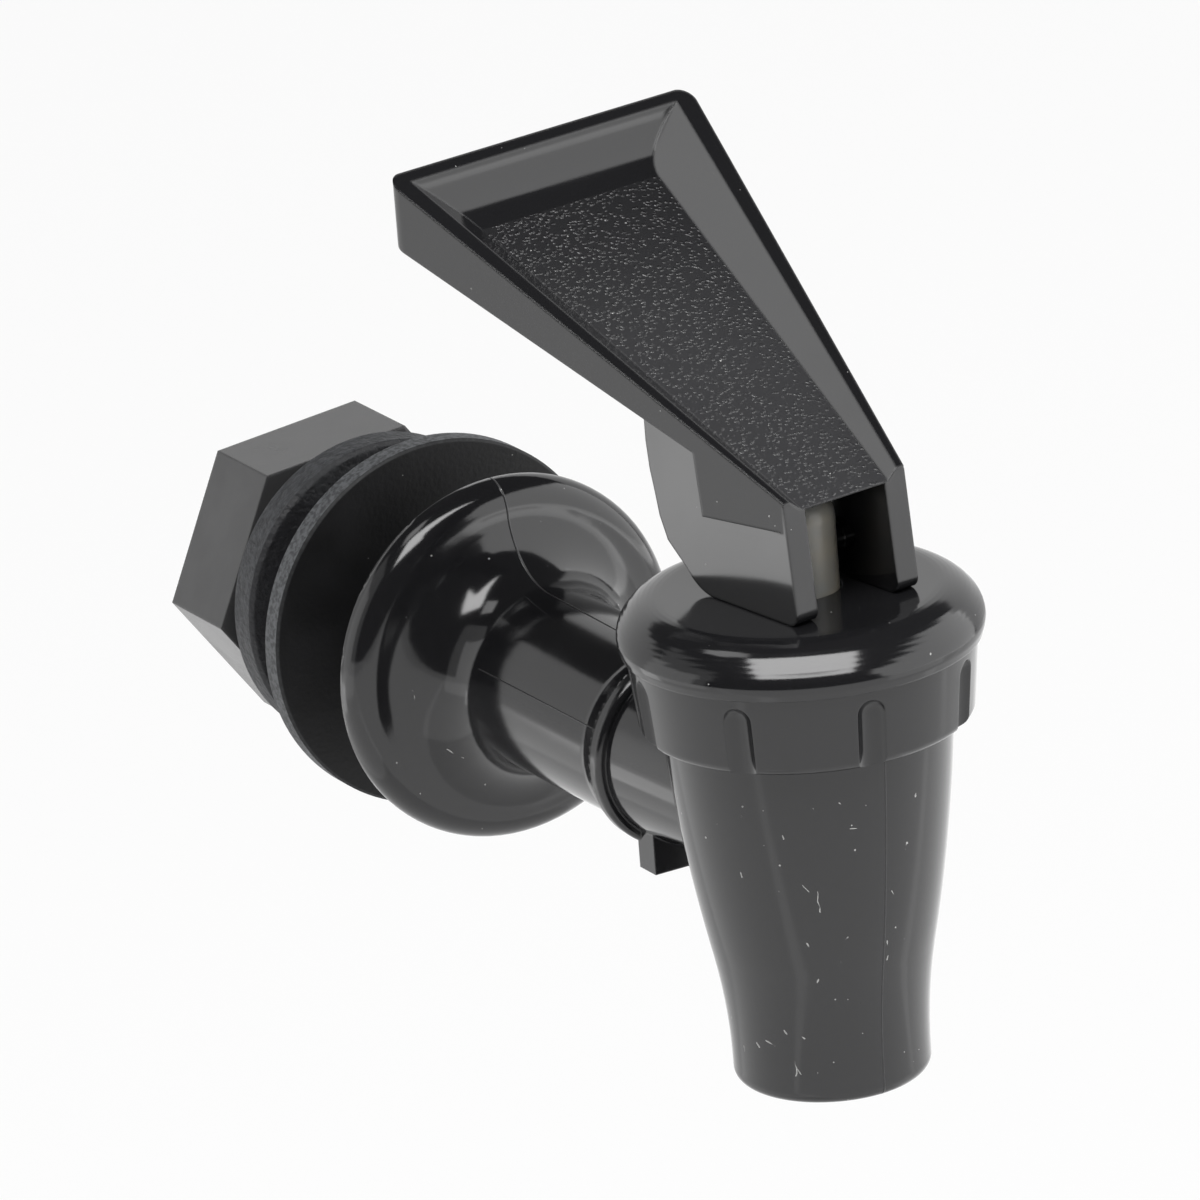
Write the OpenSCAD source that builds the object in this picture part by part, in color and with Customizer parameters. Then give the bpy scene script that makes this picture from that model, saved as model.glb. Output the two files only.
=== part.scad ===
// Push-lever water spigot for a water filter tank.
// Millimetres, +Z up, the spout in front at -Y and the threaded shank pointing back along +Y.
// The origin is the middle of the flange's back face, on the shank's axis.

/* [Spout and arm] */
// Distance from the flange's back face to the spout's axis
reach = 58.4; // [54:0.1:66]
// Spout radius just under the bonnet
spout_top_r = 13.6; // [13:0.1:15]
// Height of the spout's top face above the shank's axis
shoulder_z = 9.8; // [8:0.1:12]
// Radius of the bulging curve down the upper spout
bulge_r = 173; // [150:1:220]
// Height of the bulging curve's centre
bulge_z = 22.9; // [20:0.1:26]
// Radius of the hollow curve above the nozzle
waist_r = 55; // [40:1:70]
// Outer radius of the nozzle
nozzle_r = 9.3; // [8.8:0.1:9.8]
// Depth of the nozzle's end below the shank's axis
nozzle_drop = 25.2; // [24.5:0.1:30]
// Inner radius of the nozzle's mouth
mouth_r = 7.3; // [6.5:0.1:7.8]
// Straight length of the mouth
mouth_len = 5; // [3:0.5:7]
// Radius of the valve chamber
chamber_r = 9.4; // [9:0.1:9.8]
// Depth of the chamber's floor below the shank's axis
floor_drop = 6.4; // [6:0.1:7]
// Height of the valve seat above the chamber's floor
seat_h = 2; // [1:0.1:2.4]
// Radius of the hole in the valve seat
seat_r = 4.6; // [4:0.1:5]
// Radius of the neck that carries the bonnet
neck_r = 12.5; // [12:0.1:12.8]
// Height of the neck above the spout's top face
neck_h = 7.4; // [6.5:0.1:8]
// Radius of the arm at its collar
arm_r = 8.8; // [8.6:0.1:9.1]
// Radius of the arm where it meets the spout
arm_root_r = 8; // [7.9:0.1:8.5]
// Distance from the flange's back face to the arm's end
arm_y = 33.5; // [31:0.1:36]
// Radius of the collar at the arm's end
collar_r = 9.7; // [9.2:0.1:10.5]
// Length of the collar
collar_len = 1.4; // [1.1:0.1:2.5]
// Rounding of the collar's edge
collar_round = 0.65; // [0.3:0.05:0.8]
// Width of the stop lug under the arm
lug_w = 11; // [8:0.5:12]
// Length of the stop lug
lug_len = 2.9; // [2:0.1:4]
// Depth of the lug's end below the shank's axis
lug_drop = 10.7; // [10:0.1:13]

/* [Shank] */
// Radius of the shank's tube beside the flange
tube_r = 9; // [8.6:0.1:9.6]
// Radius of the shank's tube beside the arm
tube_end_r = 8.75; // [8.4:0.05:9]
// Radius of the flange
flange_r = 18.24; // [17:0.01:20]
// Thickness of the flange at its front face
flange_t = 3.5; // [3:0.1:4.5]
// Radius of the flange's rolled edge
rim_r = 2.8; // [1.5:0.1:3]
// Radius of the sweep from the tube to the flange
sweep_r = 7; // [5:0.1:7.5]
// Outer radius of the shank's thread
thread_r = 7.95; // [7.5:0.05:8.3]
// Length of the threaded end behind the flange
thread_len = 43.2; // [42:0.1:60]
// Radius of the water way through the shank
bore_r = 4.6; // [4:0.1:5]
// Radius of the plug end inside the arm
plug_r = 6.95; // [6.7:0.05:7.1]
// Length of the plug end
plug_len = 11; // [10:0.5:11.5]
// Thickness of the seal ring's cord
seal_d = 2; // [1.6:0.1:2.2]

/* [Washers and lock nut] */
// Distance the outer washer stands out past the flange
washer_over = 0.26; // [0:0.01:1]
// Thickness of the outer washer
outer_washer_t = 2.6; // [2:0.1:4]
// Distance of the outer washer from the flange
outer_washer_y = 11.7; // [0:0.1:17]
// Radius of the inner washer
inner_washer_r = 15.8; // [14.5:0.1:17]
// Thickness of the inner washer
inner_washer_t = 3.7; // [2:0.1:4]
// Distance of the inner washer from the flange
inner_washer_y = 21.9; // [20:0.1:24]
// Width of the nut across its flats
nut_af = 27.45; // [26:0.05:30]
// Height of the nut's hexagon
nut_h = 10.2; // [8:0.1:11]
// Height of the nut's round face
nut_face_h = 2.8; // [1:0.1:3]
// Angle of the nut round the shank
nut_angle = 5.48; // [0:0.01:60]

/* [Bonnet] */
// Height of the bonnet's lower edge above the spout's top face
bonnet_gap = 0.23; // [0.1:0.01:0.6]
// Radius of the bonnet's gripping band near its lower edge
edge_r = 15.7; // [15.2:0.1:16.2]
// Rounding of the bonnet's lower edge
edge_round = 1; // [0.5:0.1:1.5]
// Radius at the top of the gripping band
band_r = 16.4; // [16.2:0.1:17.5]
// Height of the gripping band
band_h = 7.8; // [7:0.1:9]
// Overhang of the dome over the band
overhang = 0.75; // [0.4:0.01:1]
// Height of the dome above the band
dome_h = 5.07; // [4.6:0.01:6]
// Width of the dome's shoulder
shoulder_w = 4.2; // [2:0.1:4.6]
// Height of the dome's shoulder
shoulder_h = 3.7; // [3:0.1:4.2]
// Number of grip flutes
flutes = 8; // [6:1:12]
// Radius of a grip flute
flute_r = 1.6; // [1.2:0.1:2]
// Depth of a grip flute
flute_depth = 0.9; // [0.5:0.1:1.2]
// Angle of the first flute from the front
flute_angle = -8.6; // [-20:0.1:20]

/* [Stem and seat cup] */
// Radius of the stem
stem_r = 3.9; // [3.6:0.1:4.2]
// Height of the stem's top above the pivot
stem_over = 5.5; // [4:0.1:6]
// Height of the lever's pivot above the dome
pivot_h = 3.78; // [3.6:0.01:5]
// Radius of the stem's foot in the cup
foot_r = 5; // [4.6:0.1:5.3]
// Height of the stem's foot
foot_h = 3.4; // [2.5:0.1:4]
// Thickness of the cup's sealing bottom
cup_bottom = 2; // [1.5:0.1:3]
// Outer radius of the cup at its sealing end
cup_r = 6.3; // [6.1:0.1:6.8]
// Thickness of the cup's clamped rim
rim_t = 1.8; // [1.2:0.1:2.2]
// Radius of the lever's pivot pips
pip_r = 1.6; // [1.2:0.1:2]

/* [Lever] */
// Turn of the lever round the stem
lever_turn = 7; // [-30:0.5:30]
// Distance from the stem's axis to the front crest of the lever
crest_front = 8.04; // [7.5:0.01:9]
// Distance from the stem's axis to the far end of the lever
crest_back = 35.3; // [32:0.1:40]
// Height of the front crest above the pivot
crest_h = 8.09; // [8:0.01:9]
// Slope of the lever's top
top_slope = 29.95; // [27:0.05:33]
// Slope of the lever's underside
under_slope = 24.55; // [23:0.05:26]
// Height of the lever's far end wall
end_h = 6.3; // [5.5:0.1:8]
// Half width of the lever at the fork
half_front = 7.05; // [6.9:0.01:7.6]
// Half width of the lever at the far end
half_back = 18; // [16:0.1:20]
// Radius of the lever's far corners
corner_r = 1.4; // [1:0.1:3]
// Width between the fork's cheeks
fork_w = 9.4; // [9:0.1:9.8]
// Thickness of a cheek
cheek_t = 2.4; // [2.1:0.1:2.6]
// Distance the stem rises for each radian of the lever
cam_rise = 3.5; // [3:0.1:4]
// Slope of the pressed panel against the lever's top
panel_fall = 2.95; // [2:0.01:4]
// Half width of the panel at the fork
panel_front = 5.2; // [4.8:0.1:5.4]
// Half width of the panel at the far end
panel_back = 10.4; // [8:0.01:11]
// Depth of the panel at the fork
panel_depth = 0.9; // [0.6:0.05:1]
// Length of the panel
panel_len = 42.5; // [36:0.1:43]
// Run of the panel's side slopes for each millimetre of rise
side_run = 1.366; // [1:0.001:1.5]
// Thickness of the plate over the fork
plate_t = 1.2; // [1:0.05:1.4]
// Depth of the fork's side guards below the front crest
guard_drop = 2.7; // [2:0.1:3.5]

/* [Hidden] */
$fn = 96;
eps = 0.01;
fit_gap = 0.05;
// spout curve
bulge_c = spout_top_r - sqrt(bulge_r*bulge_r - pow(bulge_z - shoulder_z, 2));
waist_c = nozzle_r + waist_r;
waist_z = bulge_z - sqrt(pow(bulge_r + waist_r, 2) - pow(waist_c - bulge_c, 2));
join_z = bulge_z + (waist_z - bulge_z)*bulge_r/(bulge_r + waist_r);
join_r = bulge_c + sqrt(bulge_r*bulge_r - pow(bulge_z - join_z, 2));
lip_round = 1.2;
neck_z = shoulder_z + neck_h;
socket_y = -arm_y - plug_len - 0.5;
seat_z = seat_h - floor_drop;
// bonnet heights
bonnet_z = shoulder_z + bonnet_gap;
band_z = bonnet_z + band_h;
dome_z = band_z + dome_h;
dome_r = band_r + overhang;
ceiling_z = neck_z + rim_t;
// stem heights
pivot_z = dome_z + pivot_h;
stem_top = pivot_z + stem_over;
foot_z = seat_z + cup_bottom;
// lock nut
nut_y = inner_washer_y + inner_washer_t;
// lever geometry, in the plane of the stem's axis
cam_clear = 0.05;
cam_h0 = pivot_h - cam_clear;
cheek_out = fork_w/2 + cheek_t;
crest_z = pivot_z + crest_h;
plan_slope = atan((half_back - half_front)/(crest_back + crest_front));
panel_u = 0.8;
rim_w = 1.35;
panel_y = panel_u*cos(top_slope) + panel_depth*sin(top_slope) - crest_front;
panel_z = crest_z + panel_u*sin(top_slope) - panel_depth*cos(top_slope);
slot_z = crest_z - 1.1;
slot_back = 14;
slot_over = 4;

function top_z(y) = crest_z + (y + crest_front)*tan(top_slope);
function under_z(y) = top_z(crest_back) - end_h + (y - crest_back)*tan(under_slope);
function plate_z(y) = panel_z - plate_t + (y - panel_y)*tan(top_slope - panel_fall);
function cam_point(a) = let(h = cam_h0 + cam_rise*a*PI/180)
    [h*sin(a) + cam_rise*cos(a), pivot_z - h*cos(a) + cam_rise*sin(a)];

module about_y() rotate([-90, 0, 0]) rotate_extrude() children();
module at_spout() translate([0, -reach, 0]) children();
module at_lever() at_spout() rotate([0, 0, lever_turn]) children();

// outline of the spout from its axis to its skin
module spout_outline() {
    intersection() {
        translate([bulge_c, bulge_z]) circle(r = bulge_r, $fn = 720);
        translate([0, join_z]) square([spout_top_r + 2, shoulder_z - join_z]);
    }
    difference() {
        translate([0, waist_z]) square([join_r, join_z - waist_z]);
        translate([waist_c, waist_z]) circle(r = waist_r, $fn = 360);
    }
    difference() {
        translate([0, -nozzle_drop]) square([nozzle_r, nozzle_drop + waist_z]);
        difference() {
            translate([nozzle_r - lip_round, -nozzle_drop - eps]) square([lip_round + eps, lip_round + eps]);
            translate([nozzle_r - lip_round, lip_round - nozzle_drop]) circle(r = lip_round);
        }
    }
    translate([0, shoulder_z - eps]) square([neck_r, neck_h + eps]);
}

// space inside the spout: outlet, valve seat and chamber
module spout_space() {
    polygon([[0, -nozzle_drop - 1], [mouth_r, -nozzle_drop - 1], [mouth_r, mouth_len - nozzle_drop],
        [seat_r + 0.5, -floor_drop - 2], [seat_r, seat_z - 1], [seat_r, seat_z + eps],
        [0, seat_z + eps]]);
    polygon([[0, seat_z], [seat_r + 1, seat_z], [seat_r + 1.5, -floor_drop], [chamber_r, -floor_drop],
        [chamber_r, neck_z + 1], [0, neck_z + 1]]);
}

module spout_body() {
    color([0.05, 0.05, 0.055]) difference() {
        union() {
            at_spout() rotate_extrude() spout_outline();
            about_y() polygon([[0, -reach], [arm_root_r, -reach], [arm_root_r, spout_top_r - reach - 2],
                [arm_r, -arm_y - 1], [arm_r, -arm_y], [0, -arm_y]]);
            about_y() difference() {
                translate([0, -arm_y - collar_len]) square([collar_r, collar_len]);
                translate([collar_r - collar_round, -arm_y - collar_len]) difference() {
                    translate([0, -eps]) square([collar_round + eps, collar_round + eps]);
                    translate([0, collar_round]) circle(r = collar_round);
                }
            }
            translate([-lug_w/2, -arm_y - 0.7 - lug_len, -lug_drop]) cube([lug_w, lug_len, lug_drop - 5]);
        }
        at_spout() rotate_extrude() spout_space();
        about_y() polygon([[0, -reach], [bore_r, -reach], [bore_r, socket_y], [plug_r + fit_gap, socket_y],
            [plug_r + fit_gap, 1 - arm_y], [0, 1 - arm_y]]);
    }
}

// outline of the shank from its axis to its skin
module shank_outline() {
    front = -flange_t;
    sweep_y = front - sweep_r;
    sweep_x = tube_r + sweep_r;
    polygon([[0, -arm_y - plug_len], [plug_r - 0.6, -arm_y - plug_len], [plug_r, 0.6 - arm_y - plug_len],
        [plug_r, -arm_y], [collar_r - 0.15, -arm_y], [collar_r - 0.15, 0.6 - arm_y], [tube_end_r, 0.6 - arm_y],
        [tube_r, sweep_y], [tube_r, -1], [0, -1]]);
    // rolled edge of the flange, its curve touching the sweep's
    rim_x = flange_r - rim_r;
    rim_y = sweep_y + sqrt(pow(sweep_r + rim_r, 2) - pow(sweep_x - rim_x, 2));
    meet_x = rim_x + (sweep_x - rim_x)*rim_r/(sweep_r + rim_r);
    difference() {
        translate([tube_r - 1, sweep_y]) square([meet_x - tube_r + 1, sweep_r + 2]);
        translate([sweep_x, sweep_y]) circle(r = sweep_r);
    }
    intersection() {
        translate([rim_x, rim_y]) circle(r = rim_r);
        polygon([[tube_r, 0], [tube_r, sweep_y], [flange_r + 1, sweep_y], [flange_r + 1, -1.5], [flange_r - 0.5, 0]]);
    }
    translate([tube_r - 1, -2]) square([rim_x - tube_r + 1, 2]);
    polygon([[0, -2], [thread_r, -2], [thread_r, thread_len - 0.9], [thread_r - 0.9, thread_len],
        [0, thread_len]]);
}

module shank() {
    color([0.05, 0.05, 0.055]) about_y() difference() {
        shank_outline();
        translate([0, -arm_y - plug_len - 1]) square([bore_r, arm_y + plug_len + thread_len + 2]);
        translate([plug_r + fit_gap - seal_d + 0.3, -arm_y - plug_len + 2.2]) square([seal_d, seal_d + 0.4]);
    }
}

module joint_seal() {
    color([0.08, 0.08, 0.08]) about_y() intersection() {
        translate([plug_r + fit_gap - seal_d/2 + 0.15, -arm_y - plug_len + 2.4 + seal_d/2]) circle(r = seal_d/2);
        translate([plug_r + fit_gap - seal_d + 0.3, -arm_y - plug_len + 2.2]) square([seal_d - 0.3, seal_d + 0.4]);
    }
}

module ring(r, hole, y, t, edge) {
    about_y() polygon([[hole, y], [r - edge, y], [r, y + edge], [r, y + t - edge], [r - edge, y + t], [hole, y + t]]);
}

module outer_washer() {
    color([0.07, 0.07, 0.07]) ring(flange_r + washer_over, thread_r, outer_washer_y, outer_washer_t, 0.25);
}

module inner_washer() {
    color([0.09, 0.09, 0.09])
        ring(inner_washer_r, thread_r + fit_gap, inner_washer_y, inner_washer_t, 0.4);
}

module lock_nut() {
    hex_y = nut_y + nut_face_h;
    color([0.1, 0.1, 0.1]) difference() {
        union() {
            translate([0, nut_y, 0]) rotate([-90, 0, 0]) cylinder(r = nut_af/2 - 0.4, h = nut_face_h + 1);
            translate([0, hex_y, 0]) rotate([0, -nut_angle, 0]) rotate([-90, 0, 0])
                cylinder(r = nut_af/sqrt(3), h = nut_h, $fn = 6);
        }
        translate([0, nut_y - 1, 0]) rotate([-90, 0, 0]) cylinder(r = thread_r + fit_gap, h = nut_face_h + nut_h + 2);
        about_y() polygon([[0, hex_y + nut_h - 0.8], [thread_r, hex_y + nut_h - 0.8],
            [thread_r + 1.2, hex_y + nut_h + 0.4], [0, hex_y + nut_h + 0.4]]);
    }
}

module flute() {
    lean = atan((band_r - edge_r)/band_h);
    translate([edge_r + flute_r - flute_depth, 0, bonnet_z]) rotate([0, lean, 0]) translate([0, 0, -2])
        rotate_extrude() intersection() {
            union() {
                square([flute_r, band_h - flute_r + 1.2]);
                translate([0, band_h - flute_r + 1.2]) circle(r = flute_r);
            }
            square([flute_r + 1, 40]);
        }
}

module bonnet() {
    color([0.05, 0.05, 0.055]) at_spout() difference() {
        rotate_extrude() difference() {
            polygon(concat([[0, bonnet_z]], [for (a = [-90 : 15 : 0])
                    [edge_r - edge_round*(1 - cos(a)), bonnet_z + edge_round*(1 + sin(a))]], [[band_r, band_z],
                    [dome_r - 0.3, band_z], [dome_r - 0.1, band_z + 0.7]], [for (a = [0 : 7.5 : 90])
                    [dome_r - shoulder_w*(1 - cos(a)), dome_z - shoulder_h*(1 - sin(a))]], [[0, dome_z]]));
            translate([0, bonnet_z - 1]) square([neck_r + fit_gap, ceiling_z - bonnet_z + 1]);
            translate([0, bonnet_z]) square([stem_r + 0.15, dome_h + band_h + 1]);
        }
        for (i = [0 : flutes - 1]) rotate([0, 0, flute_angle - 90 + i*360/flutes]) flute();
    }
}

module seat_cup() {
    wall_z = foot_z + foot_h;
    color([0.85, 0.85, 0.8]) at_spout() rotate_extrude() difference() {
        polygon([[0, seat_z], [cup_r - 0.7, seat_z], [cup_r, seat_z + 0.9], [cup_r, wall_z + 3],
            [chamber_r - 0.9, neck_z - 3.5], [chamber_r - 0.4, neck_z], [neck_r - 0.1, neck_z],
            [neck_r - 0.1, ceiling_z], [0, ceiling_z]]);
        translate([0, foot_z]) square([foot_r + fit_gap, foot_h + fit_gap]);
        polygon([[0, foot_z], [stem_r + fit_gap, foot_z], [stem_r + fit_gap, wall_z + 2],
            [cup_r - 1, wall_z + 4], [chamber_r - 1.9, neck_z - 3], [chamber_r - 1.4, neck_z],
            [chamber_r - 1.4, ceiling_z + 1], [0, ceiling_z + 1]]);
    }
}

module stem() {
    dome = 2.4;
    color([0.62, 0.6, 0.54]) at_lever() difference() {
        rotate_extrude() {
            polygon([[0, foot_z], [foot_r - 0.5, foot_z], [foot_r, foot_z + 0.5], [foot_r, foot_z + foot_h - 0.4],
                [foot_r - 0.4, foot_z + foot_h], [stem_r, foot_z + foot_h], [stem_r, stem_top - dome],
                [stem_r - dome, stem_top], [0, stem_top]]);
            intersection() {
                translate([stem_r - dome, stem_top - dome]) circle(r = dome);
                translate([0, stem_top - dome]) square([stem_r, dome]);
            }
        }
        translate([-stem_r - 1, 0, pivot_z]) rotate([0, 90, 0]) cylinder(r = pip_r + fit_gap, h = 2*stem_r + 2);
    }
}

// plan of the lever's head, looking down
module lever_plan() {
    cx = half_back - corner_r*(1 + sin(plan_slope))/cos(plan_slope);
    cy = crest_back - corner_r;
    side = [cx + corner_r*cos(plan_slope), cy - corner_r*sin(plan_slope)];
    polygon([[-half_front, -crest_front], [half_front, -crest_front], side, [cx, crest_back],
        [-cx, crest_back], [-side[0], side[1]]]);
    for (s = [-1, 1]) translate([s*cx, cy]) circle(r = corner_r);
}

// a side view (distance back, height) drawn out to the given half width
module across(half) translate([-half, 0, 0]) rotate([90, 0, 90]) linear_extrude(2*half) children();

module lever_side() {
    polygon([[-crest_front - 2, top_z(-crest_front - 2)], [crest_back + 2, top_z(crest_back + 2)],
        [crest_back + 2, under_z(crest_back + 2)], [1.85, under_z(1.85)], [1.3, crest_z - guard_drop],
        [-crest_front - 2, crest_z - guard_drop - 0.2]]);
}

// one cheek with its cam heel, from the side
module cheek_side() {
    foot = dome_z + cam_clear;
    bow = 1.2;
    polygon(concat([[-crest_front, crest_z - 0.3], [-crest_front - 0.96, foot + bow], [-crest_front - 0.96 + bow, foot]],
        [for (a = [0 : 2.5 : 50]) cam_point(a)],
        [[10, pivot_z + 0.4], [11, pivot_z + 2.6], [11.45, pivot_z + 4.7], [12, pivot_z + 7],
        [12.3, pivot_z + 9.7], [12.3, under_z(12.3) + 0.4], [1.85, under_z(1.85) + 0.4]]));
    translate([-crest_front - 0.96 + bow, foot + bow]) circle(r = bow);
}

// the pressed recess: panel floor, side slopes and the cove at the far end
module lever_recess() {
    far = panel_u + panel_len;
    depth = panel_depth + panel_len*tan(panel_fall);
    end = (crest_back + crest_front)/cos(top_slope) - rim_w;
    run = end - far;
    cove = (run*run + depth*depth)/(2*depth);
    back_run = (panel_back - panel_front)/panel_len;
    lift = side_run*tan(panel_fall);
    low = -3.9;
    high = 2;
    function side(u, w) = panel_front + (back_run + lift)*(u - panel_u) + side_run*(w + panel_depth);
    translate([0, -crest_front, crest_z]) rotate([top_slope, 0, 0]) intersection() {
        across(30) union() {
            polygon([[-3, 3], [-3, -panel_depth + (3 + panel_u)*tan(panel_fall)], [far, -depth], [far, 3]]);
            intersection() {
                translate([far, cove - depth]) circle(r = cove);
                translate([far - 1, -depth]) square([run + 1, depth]);
            }
            translate([far - 1, -eps]) square([run + 1, 3]);
        }
        polyhedron(points = [
            [-side(-4, low), -4, low], [side(-4, low), -4, low], [side(-4, high), -4, high], [-side(-4, high), -4, high],
            [-side(60, low), 60, low], [side(60, low), 60, low], [side(60, high), 60, high], [-side(60, high), 60, high]],
            faces = [[3, 2, 1, 0], [6, 7, 4, 5], [5, 4, 0, 1], [7, 6, 2, 3], [6, 5, 1, 2], [4, 7, 3, 0]]);
    }
}

module lever() {
    foot = dome_z + cam_clear;
    color([0.05, 0.05, 0.055]) at_lever() {
        difference() {
            union() {
                intersection() {
                    linear_extrude(pivot_z + 60) lever_plan();
                    across(half_back + 5) lever_side();
                }
                across(cheek_out) cheek_side();
            }
            lever_recess();
            across(fork_w/2) polygon([[-crest_front - slot_over, foot - slot_over],
                [slot_back, foot - slot_over], [slot_back, under_z(slot_back)],
                [2.5, under_z(2.5)], [1.85, plate_z(1.85)], [panel_y + 1, plate_z(panel_y + 1)],
                [panel_y, slot_z], [-crest_front - slot_over, slot_z]]);
        }
        for (s = [-1, 1]) translate([s*(fork_w/2 + 0.3), 0, pivot_z]) rotate([0, -s*90, 0])
            cylinder(r = pip_r, h = fork_w/2 + 0.3 - 2.6);
    }
}

spout_body();
shank();
joint_seal();
outer_washer();
inner_washer();
lock_nut();
bonnet();
seat_cup();
stem();
lever();
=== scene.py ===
import bpy
import math
from mathutils import Vector, Matrix


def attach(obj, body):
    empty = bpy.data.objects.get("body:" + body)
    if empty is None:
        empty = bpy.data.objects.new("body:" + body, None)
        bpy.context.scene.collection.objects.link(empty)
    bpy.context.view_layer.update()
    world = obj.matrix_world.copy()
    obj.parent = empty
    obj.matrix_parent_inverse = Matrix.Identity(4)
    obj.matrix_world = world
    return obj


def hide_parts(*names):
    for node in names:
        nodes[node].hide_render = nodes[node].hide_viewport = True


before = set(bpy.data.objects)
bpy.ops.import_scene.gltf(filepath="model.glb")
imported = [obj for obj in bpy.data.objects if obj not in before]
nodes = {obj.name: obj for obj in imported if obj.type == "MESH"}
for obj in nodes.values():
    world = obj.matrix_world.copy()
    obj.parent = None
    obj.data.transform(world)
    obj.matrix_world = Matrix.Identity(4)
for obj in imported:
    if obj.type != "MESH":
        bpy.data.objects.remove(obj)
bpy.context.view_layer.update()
print("frame loaded:", ", ".join(sorted(nodes)))

mm = 0.001


# mesh helpers

def deselectAll():
    if bpy.context.mode != "OBJECT":
        bpy.ops.object.mode_set(mode="OBJECT")
    bpy.ops.object.select_all(action="DESELECT")


def takeAlone(obj):
    deselectAll()
    obj.select_set(True)
    bpy.context.view_layer.objects.active = obj


def applyPlace(obj):
    takeAlone(obj)
    bpy.ops.object.transform_apply(location=True, rotation=True, scale=True)


def applyModifier(obj, kind, **values):
    takeAlone(obj)
    modifier = obj.modifiers.new(kind.lower(), kind)
    for key, value in values.items():
        setattr(modifier, key, value)
    bpy.ops.object.modifier_apply(modifier=modifier.name)


def editMesh(obj, operation, **values):
    # runs one edit-mode operation on the whole mesh
    takeAlone(obj)
    bpy.ops.object.mode_set(mode="EDIT")
    bpy.ops.mesh.select_all(action="SELECT")
    operation(**values)
    bpy.ops.object.mode_set(mode="OBJECT")


def cutAway(obj, point, normal, fill=False):
    # removes what lies on the side the normal points to
    editMesh(obj, bpy.ops.mesh.bisect, plane_co=point, plane_no=normal, clear_outer=True, use_fill=fill)


# node helpers

def feed(tree, socket, value):
    # a socket takes another node's output or a plain value
    if isinstance(value, bpy.types.NodeSocket):
        tree.links.new(value, socket)
    else:
        socket.default_value = value


def newMaterial(name):
    mat = bpy.data.materials.new(name)
    mat.use_nodes = True
    tree = mat.node_tree
    tree.nodes.clear()
    out = tree.nodes.new("ShaderNodeOutputMaterial")
    shader = tree.nodes.new("ShaderNodeBsdfPrincipled")
    tree.links.new(shader.outputs["BSDF"], out.inputs["Surface"])
    return mat, tree, shader


def newGroup(name, inputs, outputs):
    tree = bpy.data.node_groups.new(name, "ShaderNodeTree")
    for label, value in inputs.items():
        kind = "NodeSocketVector" if isinstance(value, tuple) else "NodeSocketFloat"
        tree.interface.new_socket(name=label, in_out="INPUT", socket_type=kind).default_value = value
    for label in outputs:
        tree.interface.new_socket(name=label, in_out="OUTPUT", socket_type="NodeSocketFloat")
    return tree, tree.nodes.new("NodeGroupInput"), tree.nodes.new("NodeGroupOutput")


def useGroup(tree, group, **values):
    n = tree.nodes.new("ShaderNodeGroup")
    n.node_tree = group
    for key, value in values.items():
        n.inputs[key].default_value = value
    return n


def mathNode(tree, operation, *values, clamp=False):
    n = tree.nodes.new("ShaderNodeMath")
    n.operation = operation
    n.use_clamp = clamp
    for socket, value in zip(n.inputs, values):
        feed(tree, socket, value)
    return n.outputs[0]


def vectorNode(tree, operation, *values, scale=None):
    n = tree.nodes.new("ShaderNodeVectorMath")
    n.operation = operation
    for socket, value in zip(n.inputs, values):
        feed(tree, socket, value)
    if scale is not None:
        feed(tree, n.inputs["Scale"], scale)
    return n.outputs["Value"] if operation in ("DOT_PRODUCT", "LENGTH") else n.outputs["Vector"]


def rampNode(tree, value, low, high, toLow=0.0, toHigh=1.0):
    n = tree.nodes.new("ShaderNodeMapRange")
    n.interpolation_type = "SMOOTHSTEP"
    for label, v in (("Value", value), ("From Min", low), ("From Max", high), ("To Min", toLow), ("To Max", toHigh)):
        feed(tree, n.inputs[label], v)
    return n.outputs["Result"]


def mixColour(tree, factor, a, b):
    n = tree.nodes.new("ShaderNodeMix")
    n.data_type = "RGBA"
    tree.links.new(factor, n.inputs["Factor"])
    for socket, colour in ((n.inputs[6], a), (n.inputs[7], b)):
        feed(tree, socket, (*colour, 1.0) if isinstance(colour, tuple) else colour)
    return n.outputs[2]


def noiseNode(tree, place, scale, detail=2.0, output="Fac"):
    n = tree.nodes.new("ShaderNodeTexNoise")
    tree.links.new(place, n.inputs["Vector"])
    feed(tree, n.inputs["Scale"], scale)
    n.inputs["Detail"].default_value = detail
    return n.outputs[output]


def objectPlace(tree):
    return tree.nodes.new("ShaderNodeTexCoord").outputs["Object"]


def shiftedPlace(tree, seed):
    # moved by the seed, so that no two parts share a pattern
    comb = tree.nodes.new("ShaderNodeCombineXYZ")
    for socket in comb.inputs:
        tree.links.new(seed, socket)
    return vectorNode(tree, "ADD", objectPlace(tree), comb.outputs[0])


def axisParts(tree, vector):
    n = tree.nodes.new("ShaderNodeSeparateXYZ")
    tree.links.new(vector, n.inputs[0])
    return n.outputs


# shared effects; their lengths are metres

skinEffect = {"hazeScale": 90.0, "hazeDetail": 4.0, "hazeRange": (0.35, 0.75)}


def buildSkinGroup(v):
    # faint waviness and haze of a moulded gloss surface
    tree, gin, gout = newGroup("mouldedSkin", {"Scale": 300.0, "Seed": 0.0}, ("Height", "Haze"))
    place = shiftedPlace(tree, gin.outputs["Seed"])
    wave = noiseNode(tree, place, gin.outputs["Scale"])
    haze = noiseNode(tree, place, v["hazeScale"], v["hazeDetail"])
    tree.links.new(wave, gout.inputs["Height"])
    tree.links.new(rampNode(tree, haze, *v["hazeRange"]), gout.inputs["Haze"])
    return tree


speckEffect = {"patchScale": 75.0, "patchRange": (0.4, 0.7), "patchShare": (0.25, 2.2),
               "sizeSpread": 0.9, "sizeLeast": 0.3, "softEdge": 0.6}


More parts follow.
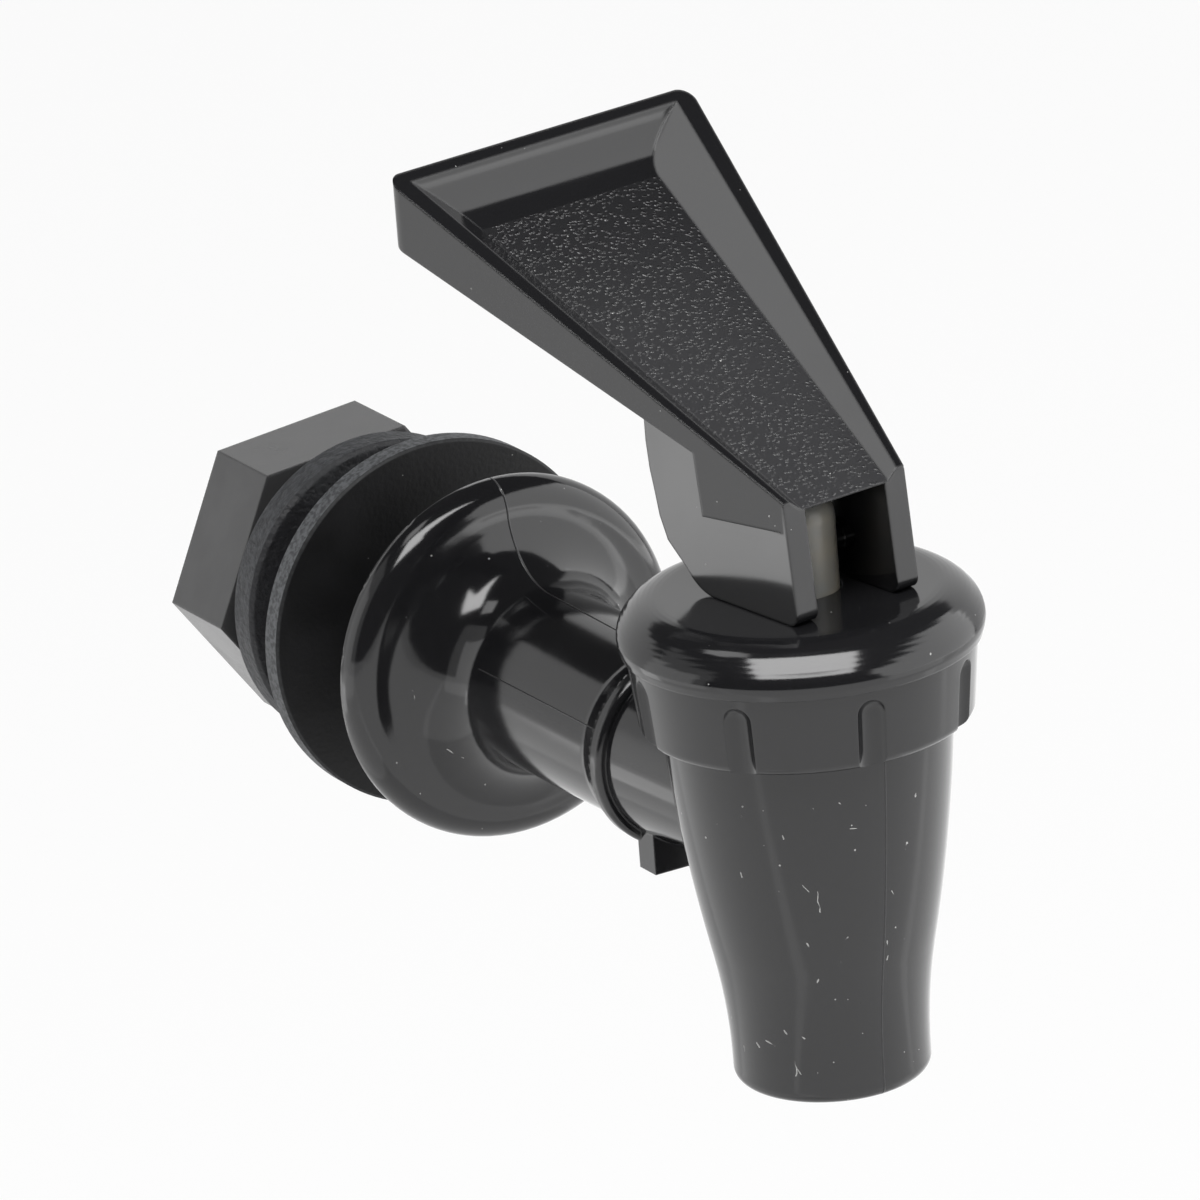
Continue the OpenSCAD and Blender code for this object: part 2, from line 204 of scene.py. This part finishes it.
def buildSpeckGroup(v):
    # scattered grains of dust: one in some of the cells, more of them in patches
    tree, gin, gout = newGroup("dustSpecks", {"Scale": 400.0, "Amount": 0.1, "Size": 0.1, "Seed": 0.0}, ("Mask",))
    place = shiftedPlace(tree, gin.outputs["Seed"])
    cells = tree.nodes.new("ShaderNodeTexVoronoi")
    tree.links.new(place, cells.inputs["Vector"])
    tree.links.new(gin.outputs["Scale"], cells.inputs["Scale"])
    parts = tree.nodes.new("ShaderNodeSeparateColor")
    tree.links.new(cells.outputs["Color"], parts.inputs[0])
    share = rampNode(tree, noiseNode(tree, place, v["patchScale"]), *v["patchRange"], *v["patchShare"])
    chosen = mathNode(tree, "LESS_THAN", parts.outputs[0], mathNode(tree, "MULTIPLY", gin.outputs["Amount"], share))
    spread = mathNode(tree, "MULTIPLY_ADD", parts.outputs[1], v["sizeSpread"], v["sizeLeast"])
    size = mathNode(tree, "MULTIPLY", gin.outputs["Size"], spread)
    near = rampNode(tree, cells.outputs["Distance"], size, mathNode(tree, "MULTIPLY", size, v["softEdge"]))
    tree.links.new(mathNode(tree, "MULTIPLY", chosen, near), gout.inputs["Mask"])
    return tree


lintEffect = {"bendScale": 900.0, "curl": 0.0005, "softEdge": 0.4}


def buildLintGroup(v):
    # one short fibre lying on the surface from Start to End, a little curled
    tree, gin, gout = newGroup("lintMark", {"Start": (0, 0, 0), "End": (0, 0, 0), "Width": 0.0001}, ("Mask",))
    start, end, width = (gin.outputs[k] for k in ("Start", "End", "Width"))
    place = objectPlace(tree)
    bend = noiseNode(tree, place, v["bendScale"], 0.0, "Color")
    push = vectorNode(tree, "SCALE", vectorNode(tree, "SUBTRACT", bend, (0.5, 0.5, 0.5)), scale=v["curl"])
    along = vectorNode(tree, "SUBTRACT", end, start)
    fromStart = vectorNode(tree, "SUBTRACT", vectorNode(tree, "ADD", place, push), start)
    share = mathNode(tree, "DIVIDE", vectorNode(tree, "DOT_PRODUCT", fromStart, along),
                     vectorNode(tree, "DOT_PRODUCT", along, along), clamp=True)
    nearest = vectorNode(tree, "SCALE", along, scale=share)
    gap = vectorNode(tree, "LENGTH", vectorNode(tree, "SUBTRACT", fromStart, nearest))
    tree.links.new(rampNode(tree, gap, width, mathNode(tree, "MULTIPLY", width, v["softEdge"])), gout.inputs["Mask"])
    return tree


def buildSeamGroup():
    # the fine line that the halves of a mould leave, in the plane across Across and on the side of Side
    inputs = {"Centre": (0, 0, 0), "Across": (1, 0, 0), "Side": (0, 0, 1), "Width": 0.0001}
    tree, gin, gout = newGroup("mouldSeam", inputs, ("Mask",))
    fromCentre = vectorNode(tree, "SUBTRACT", objectPlace(tree), gin.outputs["Centre"])
    off = mathNode(tree, "ABSOLUTE", vectorNode(tree, "DOT_PRODUCT", fromCentre, gin.outputs["Across"]))
    line = rampNode(tree, off, gin.outputs["Width"], 0.0)
    side = mathNode(tree, "GREATER_THAN", vectorNode(tree, "DOT_PRODUCT", fromCentre, gin.outputs["Side"]), 0.0)
    tree.links.new(mathNode(tree, "MULTIPLY", line, side), gout.inputs["Mask"])
    return tree


stippleEffect = {"facingRange": (0.9993, 0.9997), "warpScale": 900.0, "warpDetail": 1.0, "warp": 0.0006,
                 "smooth": 0.35, "domeRange": (0.5, 0.05), "leastHeight": 0.45}


def buildStippleGroup(v):
    # grained panel: raised worm-like grains where the surface faces along Facing, sharper from Near to Far
    tree, gin, gout = newGroup("stippleGrain", {"Facing": (0, 0, 1), "Scale": 2000.0, "Near": 0.0, "Far": 1.0},
                               ("Height", "Mask", "Sharp"))
    coord = tree.nodes.new("ShaderNodeTexCoord")
    place = coord.outputs["Object"]
    normal = vectorNode(tree, "NORMALIZE", coord.outputs["Normal"])
    mask = rampNode(tree, vectorNode(tree, "DOT_PRODUCT", normal, gin.outputs["Facing"]), *v["facingRange"])
    warp = noiseNode(tree, place, v["warpScale"], v["warpDetail"], "Color")
    push = vectorNode(tree, "SCALE", vectorNode(tree, "SUBTRACT", warp, (0.5, 0.5, 0.5)), scale=v["warp"])
    grain = tree.nodes.new("ShaderNodeTexVoronoi")
    grain.feature = "SMOOTH_F1"
    grain.inputs["Smoothness"].default_value = v["smooth"]
    tree.links.new(vectorNode(tree, "ADD", place, push), grain.inputs["Vector"])
    tree.links.new(gin.outputs["Scale"], grain.inputs["Scale"])
    dome = rampNode(tree, grain.outputs["Distance"], *v["domeRange"])
    sharp = rampNode(tree, axisParts(tree, place)[1], gin.outputs["Near"], gin.outputs["Far"])
    share = mathNode(tree, "MULTIPLY_ADD", sharp, 1.0 - v["leastHeight"], v["leastHeight"])
    tree.links.new(mathNode(tree, "MULTIPLY", mathNode(tree, "MULTIPLY", dome, share), mask), gout.inputs["Height"])
    tree.links.new(mathNode(tree, "MULTIPLY", sharp, mask), gout.inputs["Sharp"])
    tree.links.new(mask, gout.inputs["Mask"])
    return tree


skinGroup = buildSkinGroup(skinEffect)
speckGroup = buildSpeckGroup(speckEffect)
lintGroup = buildLintGroup(lintEffect)
seamGroup = buildSeamGroup()
stippleGroup = buildStippleGroup(stippleEffect)
print("shared effects ready")


# materials; the lengths in the looks are millimetres

edgeSamples = 4


def inMetres(point):
    return [v*mm for v in point]


def dustMask(tree, look, seed):
    scale, amount, size = look["specks"]
    return useGroup(tree, speckGroup, Scale=scale, Amount=amount, Size=size, Seed=seed).outputs["Mask"]


def finishSurface(tree, shader, look, height):
    # rounds the edges in the shading and lays the fine relief over them
    edge = tree.nodes.new("ShaderNodeBevel")
    edge.samples = edgeSamples
    edge.inputs["Radius"].default_value = look["edge"]*mm
    bump = tree.nodes.new("ShaderNodeBump")
    bump.inputs["Strength"].default_value = 1.0
    bump.inputs["Distance"].default_value = mm
    tree.links.new(height, bump.inputs["Height"])
    tree.links.new(edge.outputs["Normal"], bump.inputs["Normal"])
    tree.links.new(bump.outputs["Normal"], shader.inputs["Normal"])
    shader.inputs["IOR"].default_value = look["ior"]


def glossPlastic(name, look, seams=(), lint=(), stipple=None):
    # specks are (scale, amount, size); shoulder, on the bonnet only, is (low, high, drop)
    mat, tree, shader = newMaterial(name)
    skin = useGroup(tree, skinGroup, Scale=look["skinScale"], Seed=look["seed"])
    dust = dustMask(tree, look, look["seed"] + look["dustShift"])
    for start, end, width in lint:
        mark = useGroup(tree, lintGroup, Start=inMetres(start), End=inMetres(end), Width=width*mm)
        dust = mathNode(tree, "MAXIMUM", dust, mark.outputs["Mask"])
    height = mathNode(tree, "MULTIPLY", skin.outputs["Height"], look["skinDepth"])
    if "shoulder" in look:
        low, high, drop = look["shoulder"]
        slope = rampNode(tree, axisParts(tree, objectPlace(tree))[2], low*mm, high*mm, 0.0, -drop)
        height = mathNode(tree, "ADD", height, slope)
    rough = mathNode(tree, "MULTIPLY_ADD", skin.outputs["Haze"], look["haze"], look["rough"])
    line = None
    for centre, across, side, width in seams:
        seam = useGroup(tree, seamGroup, Centre=inMetres(centre), Across=across, Side=side, Width=width*mm)
        line = seam.outputs["Mask"] if line is None else mathNode(tree, "MAXIMUM", line, seam.outputs["Mask"])
    if line is not None:
        height = mathNode(tree, "ADD", height, mathNode(tree, "MULTIPLY", line, look["seamDepth"]))
        rough = mathNode(tree, "MULTIPLY_ADD", line, look["seamRough"], rough)
    base = look["base"]
    if stipple is not None:
        grain = useGroup(tree, stippleGroup, Facing=stipple["facing"], Scale=stipple["scale"],
                         Near=stipple["near"]*mm, Far=stipple["far"]*mm).outputs
        height = mathNode(tree, "ADD", height, mathNode(tree, "MULTIPLY", grain["Height"], stipple["depth"]))
        rough = mathNode(tree, "MULTIPLY_ADD", grain["Mask"], stipple["rough"], rough)
        rough = mathNode(tree, "MULTIPLY_ADD", grain["Sharp"], -stipple["rough"], rough)
        # lighter towards the panel's near end: painted sheen on the grain, mixed into the base colour
        panel = mixColour(tree, grain["Sharp"], stipple["nearSheenBase"], stipple["farBase"])
        base = mixColour(tree, grain["Mask"], base, panel)
    rough = mathNode(tree, "MULTIPLY_ADD", dust, look["dustRough"], rough, clamp=True)
    tree.links.new(rough, shader.inputs["Roughness"])
    tree.links.new(mixColour(tree, dust, base, look["dust"]), shader.inputs["Base Color"])
    finishSurface(tree, shader, look, height)
    return mat


blotch = {"scale": 160.0, "detail": 5.0, "range": (0.35, 0.8)}
rimSide = {"facing": (0.8, 0.4), "mottle": (0.35, 0.65), "leastMottle": 0.35}


def roughPlastic(name, look):
    # satin and matte parts: grain is (scale, depth); rim, on the washers only, colours the side that faces off Y
    mat, tree, shader = newMaterial(name)
    place = objectPlace(tree)
    grain = noiseNode(tree, place, look["grain"][0], 3.0)
    patch = rampNode(tree, noiseNode(tree, place, blotch["scale"], blotch["detail"]), *blotch["range"])
    tint = mixColour(tree, patch, look["base"], look["worn"])
    if "rim" in look:
        normal = axisParts(tree, tree.nodes.new("ShaderNodeTexCoord").outputs["Normal"])
        side = rampNode(tree, mathNode(tree, "ABSOLUTE", normal[1]), *rimSide["facing"])
        mottle = rampNode(tree, grain, *rimSide["mottle"], rimSide["leastMottle"], 1.0)
        tint = mixColour(tree, mathNode(tree, "MULTIPLY", side, mottle), tint, look["rim"])
    dust = dustMask(tree, look, look["seed"])
    tree.links.new(mixColour(tree, dust, tint, look["dust"]), shader.inputs["Base Color"])
    tree.links.new(mathNode(tree, "MULTIPLY_ADD", patch, look["haze"], look["rough"]), shader.inputs["Roughness"])
    finishSurface(tree, shader, look, mathNode(tree, "MULTIPLY", grain, look["grain"][1]))
    return mat


black = (0.01, 0.01, 0.011)
grey = (0.42, 0.42, 0.41)
gloss = {"base": black, "dust": grey, "rough": 0.09, "haze": 0.05, "ior": 1.54, "edge": 0.25, "skinScale": 260.0,
         "skinDepth": 0.006, "seamDepth": 0.05, "seamRough": 0.5, "dustRough": 0.4, "dustShift": 3.0,
         "specks": (900.0, 0.12, 0.09)}

# each mark: start, end, width
spoutLint = [
    ((-4.3, -70.7, 3.7), (-2.8, -71.1, 3.4), 0.07), ((-6.4, -68.8, -2.6), (-6.1, -68.6, -4.8), 0.06),
    ((-7.5, -68.2, -1.7), (-7.0, -68.4, -2.6), 0.06), ((0.5, -70.4, -3.5), (1.2, -70.3, -4.4), 0.07),
    ((-7.4, -64.1, -20.6), (-7.1, -64.5, -22.0), 0.06), ((-8.9, -61.7, -19.1), (-8.5, -62.5, -19.4), 0.1),
    ((3.6, -71.1, 4.9), (3.7, -71.0, 5.1), 0.12), ((2.3, -70.9, 0.6), (2.5, -70.8, 0.5), 0.11),
    ((3.1, -71.2, 4.7), (3.7, -71.1, 5.3), 0.07), ((-4.5, -70.9, 6.3), (-3.8, -71.1, 5.7), 0.07),
    ((2.4, -70.8, 0.6), (2.2, -70.8, -0.0), 0.07), ((-12.5, -62.0, 3.7), (-12.5, -62.1, 3.4), 0.09),
    ((-9.0, -67.7, 3.3), (-8.9, -67.8, 3.0), 0.08), ((-11.3, -63.5, -1.0), (-11.3, -63.5, -1.4), 0.10),
    ((-7.0, -67.3, -7.9), (-6.9, -67.3, -8.4), 0.10), ((-3.9, -69.0, -8.0), (-3.7, -69.1, -7.7), 0.10),
    ((-4.1, -68.5, -10.3), (-4.0, -68.5, -10.6), 0.10), ((-6.0, -67.1, -11.9), (-6.0, -67.0, -12.3), 0.10),
    ((-8.0, -63.8, -17.5), (-7.9, -63.9, -17.9), 0.10), ((-9.2, -60.6, -19.5), (-9.1, -60.8, -19.8), 0.12),
    ((-7.4, -64.2, -20.7), (-7.3, -64.3, -21.3), 0.09), ((-7.3, -64.3, -21.3), (-7.3, -64.1, -22.1), 0.09),
    ((-9.4, -58.4, -20.3), (-9.4, -58.4, -21.0), 0.09), ((-6.8, -65.2, -18.1), (-6.6, -65.3, -18.3), 0.09),
    ((-9.4, -56.4, -17.7), (-9.4, -56.5, -18.1), 0.09), ((0.4, -69.5, -9.0), (0.4, -69.4, -9.6), 0.09),
    ((0.5, -69.2, -10.7), (0.4, -69.1, -11.1), 0.09), ((0.7, -70.4, -3.8), (1.0, -70.3, -4.4), 0.09)]
spoutLook = dict(gloss, seed=2.0, specks=(850.0, 0.2, 0.1))
# each seam: centre, across, side, width
spoutSeams = [((0, -58.4, 0), (1, 0, 0), (0, -1, 0), 0.13)]
spoutGloss = glossPlastic("spoutGloss", spoutLook, spoutSeams, spoutLint)

shankLook = dict(gloss, seed=5.0)
shankSeams = [((0, 0, 0), (1, 0, 0), (0, 0, 1), 0.13), ((-8.3, -10.5, 3.4), (0.38, 0, 0.925), (-0.5, -1, 0), 0.08)]
shankLint = [((-12.5, -4.4, 0.6), (-12.3, -4.5, -1.5), 0.06), ((-9.6, -5.2, -6.1), (-8.3, -5.6, -7.2), 0.07)]
shankGloss = glossPlastic("shankGloss", shankLook, shankSeams, shankLint)

bonnetLook = dict(gloss, seed=8.0, rough=0.1, skinDepth=0.002, specks=(800.0, 0.16, 0.09), shoulder=(18.4, 21.6, 0.72))
bonnetGloss = glossPlastic("bonnetGloss", bonnetLook)

# degrees: the lever's turn about the stem, the slope of the paddle's top, and how much less the panel's floor slopes
panel = {"turn": 7.0, "topSlope": 29.95, "fall": 2.95}
turned, sloped = math.radians(panel["turn"]), math.radians(panel["topSlope"] - panel["fall"])
panelFacing = (math.sin(sloped)*math.sin(turned), -math.sin(sloped)*math.cos(turned), math.cos(sloped))
leverLook = dict(gloss, seed=11.0, edge=0.35)
# the panel's near end is coloured lighter than its far end: painted sheen standing in for light on the grain
leverStipple = {"facing": panelFacing, "scale": 2100.0, "depth": 0.17, "rough": 0.2, "near": -52.0, "far": -20.0,
                "nearSheenBase": (0.036, 0.036, 0.038), "farBase": (0.013, 0.013, 0.014)}
leverGloss = glossPlastic("leverGloss", leverLook, stipple=leverStipple)

nutSatin = roughPlastic("nutSatin", {
    "base": (0.045, 0.045, 0.046), "worn": (0.058, 0.058, 0.059), "dust": grey, "rough": 0.2, "haze": 0.08,
    "ior": 1.5, "edge": 0.4, "grain": (900.0, 0.01), "specks": (500.0, 0.03, 0.05), "seed": 4.0})
outerRubber = roughPlastic("outerRubber", {
    "base": (0.003, 0.003, 0.0035), "worn": (0.006, 0.006, 0.007), "rim": (0.1, 0.104, 0.11), "dust": (0.2, 0.2, 0.19),
    "rough": 0.55, "haze": 0.1, "ior": 1.4, "edge": 0.25, "grain": (2200.0, 0.04), "specks": (650.0, 0.16, 0.08),
    "seed": 6.0})
innerRubber = roughPlastic("innerRubber", {
    "base": (0.012, 0.012, 0.014), "worn": (0.02, 0.021, 0.023), "rim": (0.042, 0.044, 0.048), "dust": grey,
    "rough": 0.55, "haze": 0.15, "ior": 1.45, "edge": 0.4, "grain": (1500.0, 0.3), "specks": (700.0, 0.12, 0.1),
    "seed": 7.0})
sealRubber = roughPlastic("sealRubber", {
    "base": (0.012, 0.012, 0.012), "worn": (0.02, 0.02, 0.02), "dust": grey, "rough": 0.5, "haze": 0.1,
    "ior": 1.45, "edge": 0.1, "grain": (1500.0, 0.01), "specks": (500.0, 0.0, 0.05), "seed": 9.0})
cupSilicone = roughPlastic("cupSilicone", {
    "base": (0.75, 0.74, 0.7), "worn": (0.68, 0.67, 0.62), "dust": (0.8, 0.8, 0.78), "rough": 0.4, "haze": 0.1,
    "ior": 1.42, "edge": 0.15, "grain": (700.0, 0.01), "specks": (500.0, 0.0, 0.05), "seed": 10.0})
stemPlastic = roughPlastic("stemPlastic", {
    "base": (0.185, 0.19, 0.185), "worn": (0.24, 0.215, 0.165), "dust": grey, "rough": 0.28, "haze": 0.1,
    "ior": 1.5, "edge": 0.15, "grain": (700.0, 0.01), "specks": (500.0, 0.03, 0.05), "seed": 12.0})

paints = {"spout_body": spoutGloss, "shank": shankGloss, "bonnet": bonnetGloss, "lever": leverGloss,
          "lock_nut": nutSatin, "outer_washer": outerRubber, "inner_washer": innerRubber, "joint_seal": sealRubber,
          "seat_cup": cupSilicone, "stem": stemPlastic}
for node, mat in paints.items():
    nodes[node].data.materials.clear()
    nodes[node].data.materials.append(mat)
print("materials on all", len(nodes), "parts")


# threaded shank

thread = {"pitch": 2.31, "crest": 7.95, "root": 7.1, "bore": 4.6, "start": 0.4, "end": 43.2, "flat": 0.5, "foot": 1.75,
          "sunk": 0.1, "steps": 60, "sides": 96, "frontGap": 0.2, "backGap": 0.5, "weld": 0.002, "smooth": 28}


def buildShank(v):
    # flange, bell and tube from the solid, cut off where the thread begins
    deselectAll()
    front = nodes["shank"].copy()
    front.data = nodes["shank"].data.copy()
    front.name = "threadedShank"
    bpy.context.scene.collection.objects.link(front)
    front.parent = None
    front.matrix_world = Matrix.Identity(4)
    editMesh(front, bpy.ops.mesh.remove_doubles, threshold=v["weld"]*mm)
    cutAway(front, (0, v["start"]*mm, 0), (0, 1, 0))

    # core of the thread
    deselectAll()
    length = v["end"] - v["start"]
    bpy.ops.mesh.primitive_cylinder_add(vertices=v["sides"], radius=v["root"]*mm, depth=length*mm,
                                        end_fill_type="NOTHING", location=(0, (v["start"] + length/2)*mm, 0),
                                        rotation=(math.pi/2, 0, 0))
    core = bpy.context.object
    applyPlace(core)
    applyModifier(core, "SOLIDIFY", thickness=(v["root"] - v["bore"])*mm, offset=-1.0)

    # one tooth's section, screwed up the core
    deselectAll()
    bpy.ops.mesh.primitive_plane_add(size=1.0, location=(0, 0, 0))
    tooth = bpy.context.object
    bottom = v["start"] - v["pitch"]
    low, high = (v["foot"] - v["flat"])/2, (v["foot"] + v["flat"])/2
    inner = v["root"] - v["sunk"]
    corners = [(inner, 0.0), (v["crest"], low), (inner, v["foot"]), (v["crest"], high)]
    for p in tooth.data.vertices:
        k = (0 if p.co.x < 0 else 1) + (0 if p.co.y < 0 else 2)
        p.co = (corners[k][0]*mm, (bottom + corners[k][1])*mm, 0)
    editMesh(tooth, bpy.ops.mesh.delete, type="ONLY_FACE")
    applyModifier(tooth, "SCREW", axis="Y", angle=2*math.pi, screw_offset=v["pitch"]*mm, steps=v["steps"],
                  render_steps=v["steps"], iterations=int(length/v["pitch"]) + 2, use_smooth_shade=False)
    cutAway(tooth, (0, (v["end"] - v["backGap"])*mm, 0), (0, 1, 0), fill=True)
    cutAway(tooth, (0, (v["start"] + v["frontGap"])*mm, 0), (0, -1, 0), fill=True)
    editMesh(tooth, bpy.ops.mesh.normals_make_consistent, inside=False)

    deselectAll()
    for part in (tooth, core, front):
        part.select_set(True)
    bpy.context.view_layer.objects.active = front
    bpy.ops.object.join()
    takeAlone(front)
    bpy.ops.object.shade_smooth_by_angle(angle=math.radians(v["smooth"]))
    front.data.materials.clear()
    front.data.materials.append(shankGloss)
    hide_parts("shank")
    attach(front, "spout")
    return front


threadedShank = buildShank(thread)
print("threaded shank:", len(threadedShank.data.polygons), "faces")


# floor, backdrop and light, in metres

studio = {"floorZ": -0.14, "floorSize": 8.0, "wallR": 1.7, "wallSides": 96, "wallFront": 0.3, "wallTop": 1.04,
          "pale": (0.88, 0.88, 0.88), "paperRough": 0.9, "show": 0.92, "air": 0.05}


def paleMaterial(name, v):
    # shows white to the camera and in gloss, and still takes the object's shadow
    mat, tree, shader = newMaterial(name)
    shader.inputs["Base Color"].default_value = (*v["pale"], 1)
    shader.inputs["Roughness"].default_value = v["paperRough"]
    glow = tree.nodes.new("ShaderNodeEmission")
    glow.inputs["Color"].default_value = (1, 1, 1, 1)
    glow.inputs["Strength"].default_value = 1.0
    rays = tree.nodes.new("ShaderNodeLightPath").outputs
    seen = mathNode(tree, "MAXIMUM", rays["Is Camera Ray"], rays["Is Glossy Ray"])
    seen = mathNode(tree, "MAXIMUM", seen, rays["Is Transmission Ray"])
    mix = tree.nodes.new("ShaderNodeMixShader")
    tree.links.new(mathNode(tree, "MULTIPLY", seen, v["show"]), mix.inputs["Fac"])
    tree.links.new(shader.outputs["BSDF"], mix.inputs[1])
    tree.links.new(glow.outputs["Emission"], mix.inputs[2])
    out = [n for n in tree.nodes if n.type == "OUTPUT_MATERIAL"][0]
    tree.links.new(mix.outputs["Shader"], out.inputs["Surface"])
    return mat


def buildPaper(v):
    pale = paleMaterial("palePaper", v)
    deselectAll()
    bpy.ops.mesh.primitive_plane_add(size=v["floorSize"], location=(0, 0, v["floorZ"]))
    floor = bpy.context.object
    floor.name = "floor"
    floor.data.materials.append(pale)

    # paper wall bent round the back of the object
    deselectAll()
    bpy.ops.mesh.primitive_cylinder_add(vertices=v["wallSides"], radius=v["wallR"], depth=v["wallTop"] - v["floorZ"],
                                        end_fill_type="NOTHING", location=(0, 0, (v["wallTop"] + v["floorZ"])/2))
    wall = bpy.context.object
    wall.name = "backWall"
    applyPlace(wall)
    cutAway(wall, (0, v["wallFront"], 0), (0, -1, 0))
    wall.data.materials.append(pale)


buildPaper(studio)

# azimuth runs from the front towards the right, elevation up from the horizon; shift moves a lamp on from there.
# the glows lie just over the floor and face up, as bright paper does
lamps = {
    "rightBox": {"azimuth": 59, "elevation": 18, "distance": 0.9, "width": 1.5, "height": 0.92, "radiance": 2.0},
    "keyBox": {"azimuth": -28, "elevation": 64, "distance": 0.95, "width": 0.8, "height": 0.42, "radiance": 8.5},
    "leftPanel": {"azimuth": -112, "elevation": 0, "distance": 0.34, "width": 0.32, "height": 0.47, "radiance": 0.5,
                  "shift": (0, 0, 0.115)},
    "highLeft": {"azimuth": -120, "elevation": 66, "distance": 0.5, "width": 0.14, "height": 0.12, "radiance": 2.6},
    "lowLeft": {"azimuth": -136, "elevation": -20, "distance": 0.36, "width": 0.12, "height": 0.07, "radiance": 1.2},
    "lowRight": {"azimuth": 41, "elevation": -16, "distance": 0.42, "width": 0.3, "height": 0.16, "radiance": 0.5},
    "frontGlow": {"azimuth": 0, "elevation": -90, "distance": 0.15, "width": 2.18, "height": 1.0, "radiance": 0.33,
                  "shift": (0, -0.595, 0)},
    "leftGlow": {"azimuth": 0, "elevation": -90, "distance": 0.15, "width": 1.0, "height": 0.72, "radiance": 0.33,
                 "shift": (-0.59, 0.24, 0)},
    "rightGlow": {"azimuth": 0, "elevation": -90, "distance": 0.15, "width": 1.0, "height": 0.72, "radiance": 0.33,
                  "shift": (0.59, 0.24, 0)}}
lookAt = Vector((0, -0.025, 0.012))
faceUp = (math.pi, 0, 0)


def addLamp(name, v):
    a, e = math.radians(v["azimuth"]), math.radians(v["elevation"])
    away = Vector((math.sin(a)*math.cos(e), -math.cos(a)*math.cos(e), math.sin(e)))
    data = bpy.data.lights.new(name, "AREA")
    data.shape = "RECTANGLE"
    data.size = v["width"]
    data.size_y = v["height"]
    data.energy = v["radiance"]*math.pi*v["width"]*v["height"]
    lamp = bpy.data.objects.new(name, data)
    bpy.context.scene.collection.objects.link(lamp)
    lamp.location = lookAt + away*v["distance"] + Vector(v.get("shift", (0, 0, 0)))
    lamp.rotation_euler = faceUp if v["elevation"] == -90 else away.to_track_quat("Z", "Y").to_euler()


for name, v in lamps.items():
    addLamp(name, v)


def plainBackground(tree, strength):
    n = tree.nodes.new("ShaderNodeBackground")
    n.inputs["Color"].default_value = (1, 1, 1, 1)
    n.inputs["Strength"].default_value = strength
    return n.outputs[0]


def buildAir(v):
    # white where the camera looks past the paper, and nearly dark for the object
    world = bpy.data.worlds.new("studioAir")
    bpy.context.scene.world = world
    world.use_nodes = True
    tree = world.node_tree
    tree.nodes.clear()
    out = tree.nodes.new("ShaderNodeOutputWorld")
    mix = tree.nodes.new("ShaderNodeMixShader")
    tree.links.new(tree.nodes.new("ShaderNodeLightPath").outputs["Is Camera Ray"], mix.inputs["Fac"])
    tree.links.new(plainBackground(tree, v["air"]), mix.inputs[1])
    tree.links.new(plainBackground(tree, 1.0), mix.inputs[2])
    tree.links.new(mix.outputs[0], out.inputs["Surface"])


buildAir(studio)
print("floor, wall and", len(lamps), "lamps in place")


# camera at the photograph's place: target and away in millimetres

view = {"target": (-0.2194, -20.9, 11.294), "away": 1100.0, "lens": 346.27, "sensor": 36.0, "near": 0.01, "far": 20.0,
        "right": (0.85968, -0.50537, -0.07451), "up": (0.23324, 0.25856, 0.93742),
        "back": (-0.45447, -0.82326, 0.34015)}


def buildCamera(v):
    data = bpy.data.cameras.new("photoView")
    data.sensor_width = v["sensor"]
    data.sensor_fit = "HORIZONTAL"
    data.lens = v["lens"]
    data.clip_start = v["near"]
    data.clip_end = v["far"]
    camera = bpy.data.objects.new("photoView", data)
    bpy.context.scene.collection.objects.link(camera)
    place = Vector(v["target"])*mm + Vector(v["back"])*v["away"]*mm
    turn = Matrix((v["right"], v["up"], v["back"])).transposed()
    camera.matrix_world = Matrix.Translation(place) @ turn.to_4x4()
    bpy.context.scene.camera = camera


buildCamera(view)
bpy.context.scene.view_settings.view_transform = "Standard"
